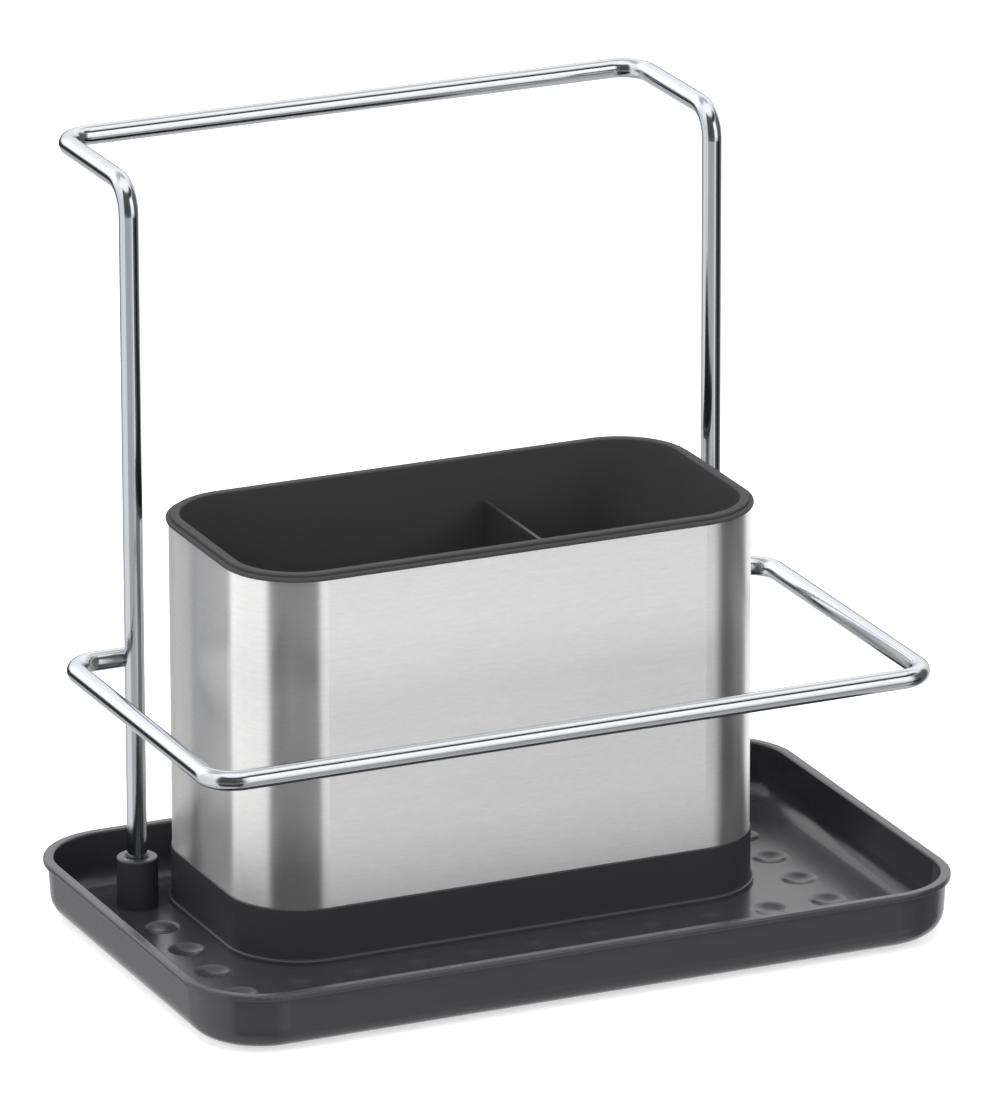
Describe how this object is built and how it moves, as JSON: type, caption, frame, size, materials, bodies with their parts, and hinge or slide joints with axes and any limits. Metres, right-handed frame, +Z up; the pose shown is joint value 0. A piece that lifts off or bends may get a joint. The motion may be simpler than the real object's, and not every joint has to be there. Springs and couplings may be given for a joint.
{
  "type": "kitchen sink caddy",
  "caption": "Sink caddy: black drip tray with a chrome wire hoop and front cloth rail, and a brushed steel holder whose divided black liner lifts out.",
  "frame": {"origin": "on the ground under the middle of the overall box", "axes": "+X along the tray, -Y the front with the cloth rail, +Z up"},
  "size_m": [0.2468, 0.1856, 0.2317],
  "materials": {
    "black_plastic": "satin",
    "divider_plastic": "satin",
    "chrome_wire": "polished",
    "brushed_sleeve": "brushed",
    "rubber_pad": "matte"
  },
  "bodies": {
    "tray": {"drip_tray": "black_plastic", "foot_front_left": "rubber_pad", "foot_front_right": "rubber_pad", "foot_back_left": "rubber_pad", "foot_back_right": "rubber_pad"},
    "rack": {"wire_hoop": "chrome_wire", "front_rail": "chrome_wire"},
    "holder": {"base_plinth": "black_plastic", "steel_sleeve": "brushed_sleeve"},
    "liner": {"liner_cup": "black_plastic"},
    "divider": {"divider_plate": "divider_plastic"}
  },
  "joints": [
    {"name": "rack_lift", "type": "slide", "parent": "tray", "child": "rack", "axis": [0, 0, 1], "range_m": [0, 0.03]},
    {"name": "holder_lift", "type": "slide", "parent": "tray", "child": "holder", "axis": [0, 0, 1], "range_m": [0, 0.05]},
    {"name": "liner_lift", "type": "slide", "parent": "holder", "child": "liner", "axis": [0, 0, 1], "range_m": [0, 0.13]},
    {"name": "divider_lift", "type": "slide", "parent": "liner", "child": "divider", "axis": [0, 0, 1], "range_m": [0, 0.12]}
  ]
}
